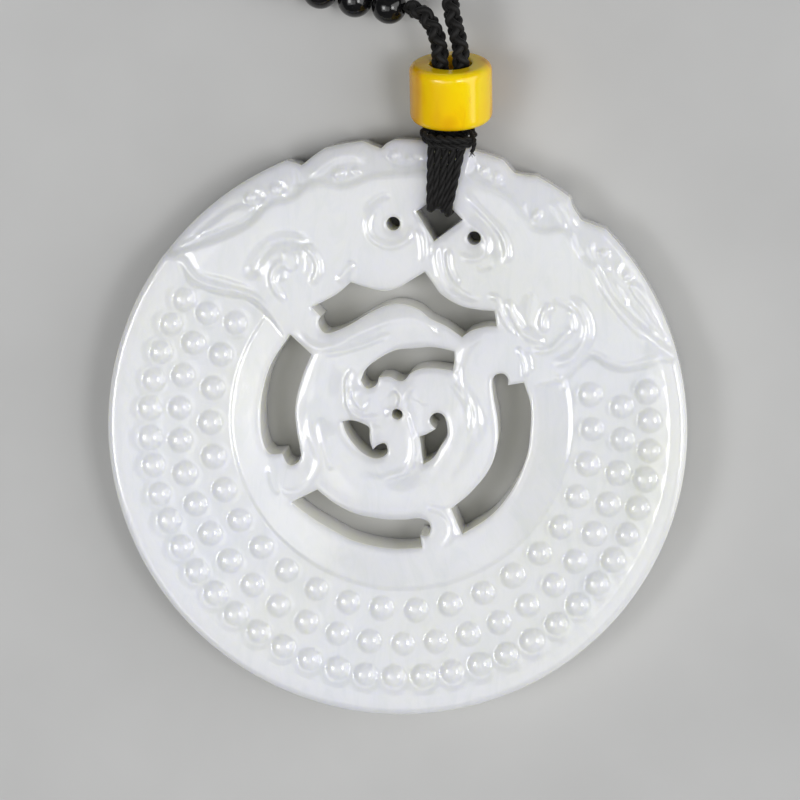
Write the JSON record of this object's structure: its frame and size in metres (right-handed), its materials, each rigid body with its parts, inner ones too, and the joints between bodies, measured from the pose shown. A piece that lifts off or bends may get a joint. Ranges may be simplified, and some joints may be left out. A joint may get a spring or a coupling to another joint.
{
  "type": "carved jade disc pendant necklace",
  "caption": "Pierced and carved jade disc pendant with a grain field and two dragon heads, a cord loop, a yellow barrel bead and a string of round black beads.",
  "frame": {"origin": "centre of the disc's flat back, on the surface it lies on", "axes": "+Z out of the carved face, +Y from the disc towards the neck, +X to the right seen from the front"},
  "size_m": [0.2004, 0.2964, 0.0092],
  "materials": {
    "jade": "polished, translucent white",
    "black_cord": "braided, slightly shiny",
    "yellow_amber": "glossy, cloudy yellow",
    "black_agate": "polished black"
  },
  "bodies": {
    "root": {"jade_disc": "jade", "bail_loop": "black_cord", "barrel_bead": "yellow_amber", "left_braid": "black_cord", "right_braid": "black_cord", "left_beads": "black_agate", "right_beads": "black_agate", "neck_thread": "black_cord"}
  },
  "joints": []
}
